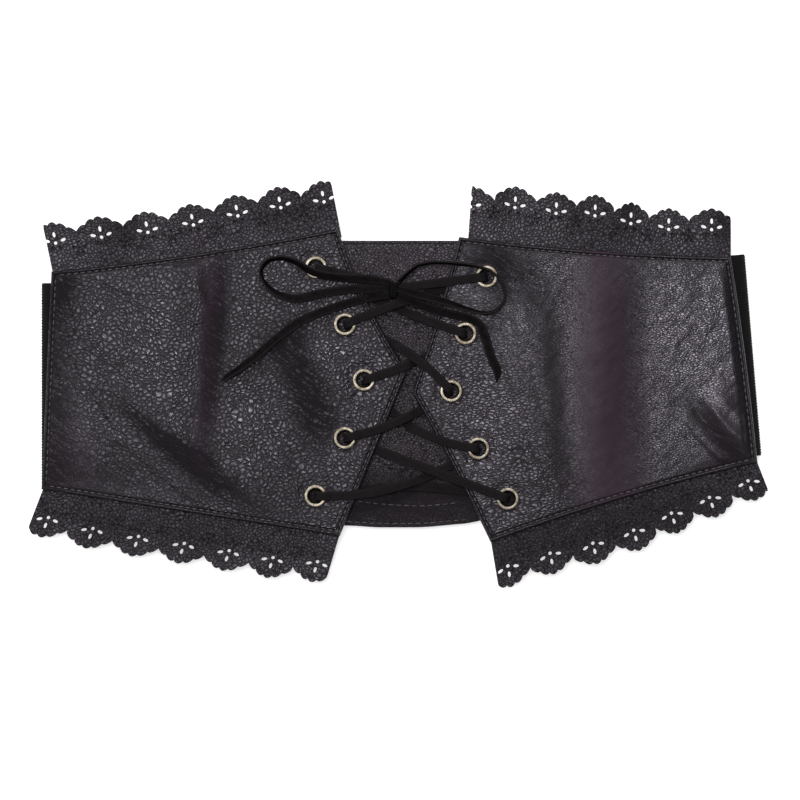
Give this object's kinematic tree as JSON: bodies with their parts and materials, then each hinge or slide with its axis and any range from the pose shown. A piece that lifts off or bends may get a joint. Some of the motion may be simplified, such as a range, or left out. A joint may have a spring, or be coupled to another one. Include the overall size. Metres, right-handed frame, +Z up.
{
  "type": "corset belt",
  "caption": "Wide corset belt of black pebbled leather with pierced scalloped trims, crossed suede lacing tied in a bow, brass eyelets and an elastic back, lying flat.",
  "frame": {"origin": "on the floor under the middle of the belt's outline as it lies face up", "axes": "+X along the belt's length to the right of the front, +Y towards its top edge, +Z up from the elastic back to the laced front"},
  "size_m": [0.333, 0.183, 0.0198],
  "materials": {
    "leather": "satin",
    "tongue_leather": "satin",
    "elastic": "matte",
    "suede_lace": "matte",
    "brass": "antique"
  },
  "bodies": {
    "root": {"left_panel": "leather", "right_panel": "leather", "left_top_trim": "leather", "left_bottom_trim": "leather", "right_top_trim": "leather", "right_bottom_trim": "leather", "tongue": "tongue_leather", "elastic_band": "elastic", "eyelet_left_1": "brass", "eyelet_left_2": "brass", "eyelet_left_3": "brass", "eyelet_left_4": "brass", "eyelet_left_5": "brass", "eyelet_right_1": "brass", "eyelet_right_2": "brass", "eyelet_right_3": "brass", "eyelet_right_4": "brass", "eyelet_right_5": "brass", "lacing": "suede_lace", "bow_knot": "suede_lace", "bow_loop_left": "suede_lace", "bow_loop_right": "suede_lace", "lace_tail_left": "suede_lace", "lace_tail_right": "suede_lace"}
  },
  "joints": []
}
